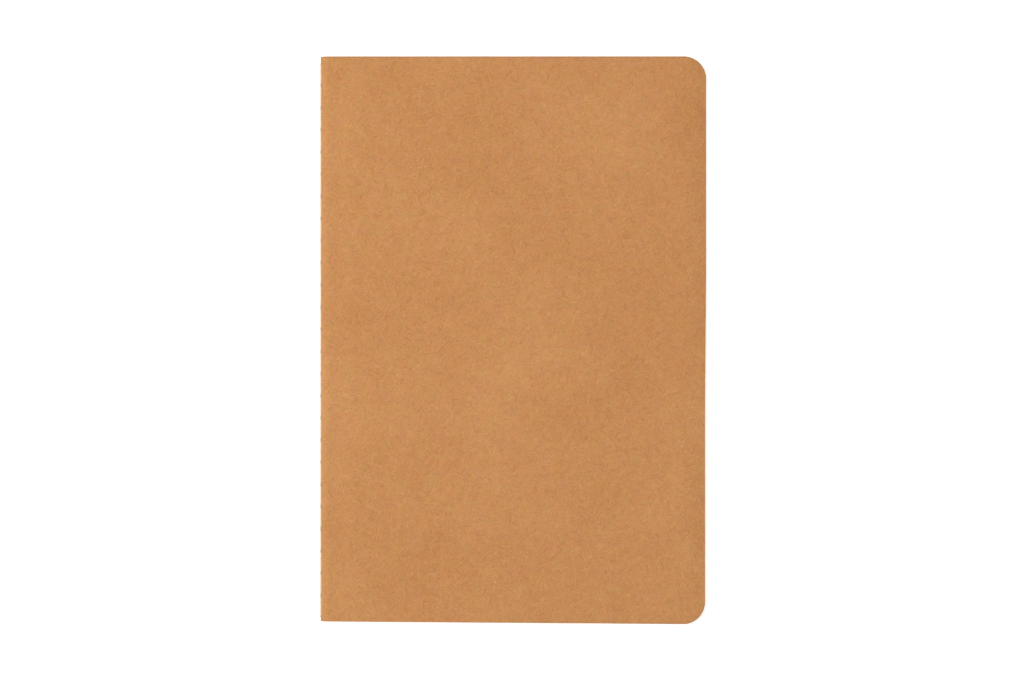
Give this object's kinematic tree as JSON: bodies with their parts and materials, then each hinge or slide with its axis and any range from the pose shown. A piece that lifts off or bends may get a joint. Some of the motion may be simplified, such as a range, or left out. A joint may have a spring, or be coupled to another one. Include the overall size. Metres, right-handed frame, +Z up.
{
  "type": "pocket notebook",
  "caption": "Pocket notebook: a folded kraft card cover and folded paper sheets, thread-sewn along the spine; it opens flat at its centre spread.",
  "frame": {"origin": "middle of the underside of the closed notebook, on the surface that it lies on", "axes": "+X from the spine to the fore-edge, +Y along the spine to the head, +Z up out of the front cover"},
  "size_m": [0.0952, 0.1396, 0.0054],
  "materials": {
    "kraft_card": "uncoated brown kraft card, matte, with a fine fibrous grain and soft mottling",
    "page_paper": "uncoated cream writing paper, matte",
    "sewing_thread": "twisted off-white sewing thread"
  },
  "bodies": {
    "back_cover": {"back_cover": "kraft_card"},
    "spine": {"spine_fold": "kraft_card", "outer_thread": "sewing_thread", "inner_thread": "sewing_thread", "sheet_01_fold": "page_paper", "sheet_02_fold": "page_paper", "sheet_03_fold": "page_paper", "sheet_04_fold": "page_paper", "sheet_05_fold": "page_paper", "sheet_06_fold": "page_paper", "sheet_07_fold": "page_paper", "sheet_08_fold": "page_paper", "sheet_09_fold": "page_paper", "sheet_10_fold": "page_paper", "sheet_11_fold": "page_paper", "sheet_12_fold": "page_paper", "sheet_13_fold": "page_paper", "sheet_14_fold": "page_paper", "sheet_15_fold": "page_paper", "sheet_16_fold": "page_paper"},
    "front_cover": {"front_cover": "kraft_card"},
    "sheet_01_back": {"sheet_01_back_leaf": "page_paper"},
    "sheet_01_front": {"sheet_01_front_leaf": "page_paper"},
    "sheet_02_back": {"sheet_02_back_leaf": "page_paper"},
    "sheet_02_front": {"sheet_02_front_leaf": "page_paper"},
    "sheet_03_back": {"sheet_03_back_leaf": "page_paper"},
    "sheet_03_front": {"sheet_03_front_leaf": "page_paper"},
    "sheet_04_back": {"sheet_04_back_leaf": "page_paper"},
    "sheet_04_front": {"sheet_04_front_leaf": "page_paper"},
    "sheet_05_back": {"sheet_05_back_leaf": "page_paper"},
    "sheet_05_front": {"sheet_05_front_leaf": "page_paper"},
    "sheet_06_back": {"sheet_06_back_leaf": "page_paper"},
    "sheet_06_front": {"sheet_06_front_leaf": "page_paper"},
    "sheet_07_back": {"sheet_07_back_leaf": "page_paper"},
    "sheet_07_front": {"sheet_07_front_leaf": "page_paper"},
    "sheet_08_back": {"sheet_08_back_leaf": "page_paper"},
    "sheet_08_front": {"sheet_08_front_leaf": "page_paper"},
    "sheet_09_back": {"sheet_09_back_leaf": "page_paper"},
    "sheet_09_front": {"sheet_09_front_leaf": "page_paper"},
    "sheet_10_back": {"sheet_10_back_leaf": "page_paper"},
    "sheet_10_front": {"sheet_10_front_leaf": "page_paper"},
    "sheet_11_back": {"sheet_11_back_leaf": "page_paper"},
    "sheet_11_front": {"sheet_11_front_leaf": "page_paper"},
    "sheet_12_back": {"sheet_12_back_leaf": "page_paper"},
    "sheet_12_front": {"sheet_12_front_leaf": "page_paper"},
    "sheet_13_back": {"sheet_13_back_leaf": "page_paper"},
    "sheet_13_front": {"sheet_13_front_leaf": "page_paper"},
    "sheet_14_back": {"sheet_14_back_leaf": "page_paper"},
    "sheet_14_front": {"sheet_14_front_leaf": "page_paper"},
    "sheet_15_back": {"sheet_15_back_leaf": "page_paper"},
    "sheet_15_front": {"sheet_15_front_leaf": "page_paper"},
    "sheet_16_back": {"sheet_16_back_leaf": "page_paper"},
    "sheet_16_front": {"sheet_16_front_leaf": "page_paper"}
  },
  "joints": [
    {"name": "spine_hinge", "type": "hinge", "parent": "back_cover", "child": "spine", "pos_m": [-0.04663, 0, 0.00102], "axis": [0, -1, 0], "range_deg": [0, 90], "deforming": ["spine_fold", "sheet_01_fold", "sheet_02_fold", "sheet_03_fold", "sheet_04_fold", "sheet_05_fold", "sheet_06_fold", "sheet_07_fold", "sheet_08_fold", "sheet_09_fold", "sheet_10_fold", "sheet_11_fold", "sheet_12_fold", "sheet_13_fold", "sheet_14_fold", "sheet_15_fold", "sheet_16_fold"]},
    {"name": "front_cover_hinge", "type": "hinge", "parent": "spine", "child": "front_cover", "pos_m": [-0.04663, 0, 0.00438], "axis": [0, -1, 0], "range_deg": [0, 90]},
    {"name": "sheet_01_back_hinge", "type": "hinge", "parent": "spine", "child": "sheet_01_back", "pos_m": [-0.04645, 0, 0.0012], "axis": [0, 1, 0], "range_deg": [0, 90]},
    {"name": "sheet_01_front_hinge", "type": "hinge", "parent": "spine", "child": "sheet_01_front", "pos_m": [-0.04645, 0, 0.0042], "axis": [0, -1, 0], "range_deg": [0, 90]},
    {"name": "sheet_02_back_hinge", "type": "hinge", "parent": "spine", "child": "sheet_02_back", "pos_m": [-0.04636, 0, 0.00128], "axis": [0, 1, 0], "range_deg": [0, 90]},
    {"name": "sheet_02_front_hinge", "type": "hinge", "parent": "spine", "child": "sheet_02_front", "pos_m": [-0.04636, 0, 0.00412], "axis": [0, -1, 0], "range_deg": [0, 90]},
    {"name": "sheet_03_back_hinge", "type": "hinge", "parent": "spine", "child": "sheet_03_back", "pos_m": [-0.04628, 0, 0.00137], "axis": [0, 1, 0], "range_deg": [0, 90]},
    {"name": "sheet_03_front_hinge", "type": "hinge", "parent": "spine", "child": "sheet_03_front", "pos_m": [-0.04628, 0, 0.00403], "axis": [0, -1, 0], "range_deg": [0, 90]},
    {"name": "sheet_04_back_hinge", "type": "hinge", "parent": "spine", "child": "sheet_04_back", "pos_m": [-0.0462, 0, 0.00145], "axis": [0, 1, 0], "range_deg": [0, 90]},
    {"name": "sheet_04_front_hinge", "type": "hinge", "parent": "spine", "child": "sheet_04_front", "pos_m": [-0.0462, 0, 0.00395], "axis": [0, -1, 0], "range_deg": [0, 90]},
    {"name": "sheet_05_back_hinge", "type": "hinge", "parent": "spine", "child": "sheet_05_back", "pos_m": [-0.04611, 0, 0.00153], "axis": [0, 1, 0], "range_deg": [0, 90]},
    {"name": "sheet_05_front_hinge", "type": "hinge", "parent": "spine", "child": "sheet_05_front", "pos_m": [-0.04611, 0, 0.00387], "axis": [0, -1, 0], "range_deg": [0, 90]},
    {"name": "sheet_06_back_hinge", "type": "hinge", "parent": "spine", "child": "sheet_06_back", "pos_m": [-0.04603, 0, 0.00162], "axis": [0, 1, 0], "range_deg": [0, 90]},
    {"name": "sheet_06_front_hinge", "type": "hinge", "parent": "spine", "child": "sheet_06_front", "pos_m": [-0.04603, 0, 0.00378], "axis": [0, -1, 0], "range_deg": [0, 90]},
    {"name": "sheet_07_back_hinge", "type": "hinge", "parent": "spine", "child": "sheet_07_back", "pos_m": [-0.04594, 0, 0.0017], "axis": [0, 1, 0], "range_deg": [0, 90]},
    {"name": "sheet_07_front_hinge", "type": "hinge", "parent": "spine", "child": "sheet_07_front", "pos_m": [-0.04594, 0, 0.0037], "axis": [0, -1, 0], "range_deg": [0, 90]},
    {"name": "sheet_08_back_hinge", "type": "hinge", "parent": "spine", "child": "sheet_08_back", "pos_m": [-0.04586, 0, 0.00179], "axis": [0, 1, 0], "range_deg": [0, 90]},
    {"name": "sheet_08_front_hinge", "type": "hinge", "parent": "spine", "child": "sheet_08_front", "pos_m": [-0.04586, 0, 0.00361], "axis": [0, -1, 0], "range_deg": [0, 90]},
    {"name": "sheet_09_back_hinge", "type": "hinge", "parent": "spine", "child": "sheet_09_back", "pos_m": [-0.04577, 0, 0.00187], "axis": [0, 1, 0], "range_deg": [0, 90]},
    {"name": "sheet_09_front_hinge", "type": "hinge", "parent": "spine", "child": "sheet_09_front", "pos_m": [-0.04577, 0, 0.00353], "axis": [0, -1, 0], "range_deg": [0, 90]},
    {"name": "sheet_10_back_hinge", "type": "hinge", "parent": "spine", "child": "sheet_10_back", "pos_m": [-0.04569, 0, 0.00196], "axis": [0, 1, 0], "range_deg": [0, 90]},
    {"name": "sheet_10_front_hinge", "type": "hinge", "parent": "spine", "child": "sheet_10_front", "pos_m": [-0.04569, 0, 0.00344], "axis": [0, -1, 0], "range_deg": [0, 90]},
    {"name": "sheet_11_back_hinge", "type": "hinge", "parent": "spine", "child": "sheet_11_back", "pos_m": [-0.0456, 0, 0.00204], "axis": [0, 1, 0], "range_deg": [0, 90]},
    {"name": "sheet_11_front_hinge", "type": "hinge", "parent": "spine", "child": "sheet_11_front", "pos_m": [-0.0456, 0, 0.00336], "axis": [0, -1, 0], "range_deg": [0, 90]},
    {"name": "sheet_12_back_hinge", "type": "hinge", "parent": "spine", "child": "sheet_12_back", "pos_m": [-0.04552, 0, 0.00213], "axis": [0, 1, 0], "range_deg": [0, 90]},
    {"name": "sheet_12_front_hinge", "type": "hinge", "parent": "spine", "child": "sheet_12_front", "pos_m": [-0.04552, 0, 0.00327], "axis": [0, -1, 0], "range_deg": [0, 90]},
    {"name": "sheet_13_back_hinge", "type": "hinge", "parent": "spine", "child": "sheet_13_back", "pos_m": [-0.04543, 0, 0.00221], "axis": [0, 1, 0], "range_deg": [0, 90]},
    {"name": "sheet_13_front_hinge", "type": "hinge", "parent": "spine", "child": "sheet_13_front", "pos_m": [-0.04543, 0, 0.00319], "axis": [0, -1, 0], "range_deg": [0, 90]},
    {"name": "sheet_14_back_hinge", "type": "hinge", "parent": "spine", "child": "sheet_14_back", "pos_m": [-0.04535, 0, 0.0023], "axis": [0, 1, 0], "range_deg": [0, 90]},
    {"name": "sheet_14_front_hinge", "type": "hinge", "parent": "spine", "child": "sheet_14_front", "pos_m": [-0.04535, 0, 0.0031], "axis": [0, -1, 0], "range_deg": [0, 90]},
    {"name": "sheet_15_back_hinge", "type": "hinge", "parent": "spine", "child": "sheet_15_back", "pos_m": [-0.04527, 0, 0.00238], "axis": [0, 1, 0], "range_deg": [0, 90]},
    {"name": "sheet_15_front_hinge", "type": "hinge", "parent": "spine", "child": "sheet_15_front", "pos_m": [-0.04527, 0, 0.00302], "axis": [0, -1, 0], "range_deg": [0, 90]},
    {"name": "sheet_16_back_hinge", "type": "hinge", "parent": "spine", "child": "sheet_16_back", "pos_m": [-0.04518, 0, 0.00246], "axis": [0, 1, 0], "range_deg": [0, 90]},
    {"name": "sheet_16_front_hinge", "type": "hinge", "parent": "spine", "child": "sheet_16_front", "pos_m": [-0.04518, 0, 0.00294], "axis": [0, -1, 0], "range_deg": [0, 90]}
  ],
  "couplings": [
    {"joint": "front_cover_hinge", "follows": "spine_hinge", "ratio": 1},
    {"joint": "sheet_01_back_hinge", "follows": "spine_hinge", "ratio": 0.99667},
    {"joint": "sheet_01_front_hinge", "follows": "spine_hinge", "ratio": 0.99667},
    {"joint": "sheet_02_back_hinge", "follows": "spine_hinge", "ratio": 0.995},
    {"joint": "sheet_02_front_hinge", "follows": "spine_hinge", "ratio": 0.995},
    {"joint": "sheet_03_back_hinge", "follows": "spine_hinge", "ratio": 0.99196},
    {"joint": "sheet_03_front_hinge", "follows": "spine_hinge", "ratio": 0.99196},
    {"joint": "sheet_04_back_hinge", "follows": "spine_hinge", "ratio": 0.98802},
    {"joint": "sheet_04_front_hinge", "follows": "spine_hinge", "ratio": 0.98802},
    {"joint": "sheet_05_back_hinge", "follows": "spine_hinge", "ratio": 0.98336},
    {"joint": "sheet_05_front_hinge", "follows": "spine_hinge", "ratio": 0.98336},
    {"joint": "sheet_06_back_hinge", "follows": "spine_hinge", "ratio": 0.97806},
    {"joint": "sheet_06_front_hinge", "follows": "spine_hinge", "ratio": 0.97806},
    {"joint": "sheet_07_back_hinge", "follows": "spine_hinge", "ratio": 0.97221},
    {"joint": "sheet_07_front_hinge", "follows": "spine_hinge", "ratio": 0.97221},
    {"joint": "sheet_08_back_hinge", "follows": "spine_hinge", "ratio": 0.96585},
    {"joint": "sheet_08_front_hinge", "follows": "spine_hinge", "ratio": 0.96585},
    {"joint": "sheet_09_back_hinge", "follows": "spine_hinge", "ratio": 0.95902},
    {"joint": "sheet_09_front_hinge", "follows": "spine_hinge", "ratio": 0.95902},
    {"joint": "sheet_10_back_hinge", "follows": "spine_hinge", "ratio": 0.95174},
    {"joint": "sheet_10_front_hinge", "follows": "spine_hinge", "ratio": 0.95174},
    {"joint": "sheet_11_back_hinge", "follows": "spine_hinge", "ratio": 0.94405},
    {"joint": "sheet_11_front_hinge", "follows": "spine_hinge", "ratio": 0.94405},
    {"joint": "sheet_12_back_hinge", "follows": "spine_hinge", "ratio": 0.93596},
    {"joint": "sheet_12_front_hinge", "follows": "spine_hinge", "ratio": 0.93596},
    {"joint": "sheet_13_back_hinge", "follows": "spine_hinge", "ratio": 0.9275},
    {"joint": "sheet_13_front_hinge", "follows": "spine_hinge", "ratio": 0.9275},
    {"joint": "sheet_14_back_hinge", "follows": "spine_hinge", "ratio": 0.91867},
    {"joint": "sheet_14_front_hinge", "follows": "spine_hinge", "ratio": 0.91867},
    {"joint": "sheet_15_back_hinge", "follows": "spine_hinge", "ratio": 0.9095},
    {"joint": "sheet_15_front_hinge", "follows": "spine_hinge", "ratio": 0.9095},
    {"joint": "sheet_16_back_hinge", "follows": "spine_hinge", "ratio": 0.9},
    {"joint": "sheet_16_front_hinge", "follows": "spine_hinge", "ratio": 0.9}
  ]
}
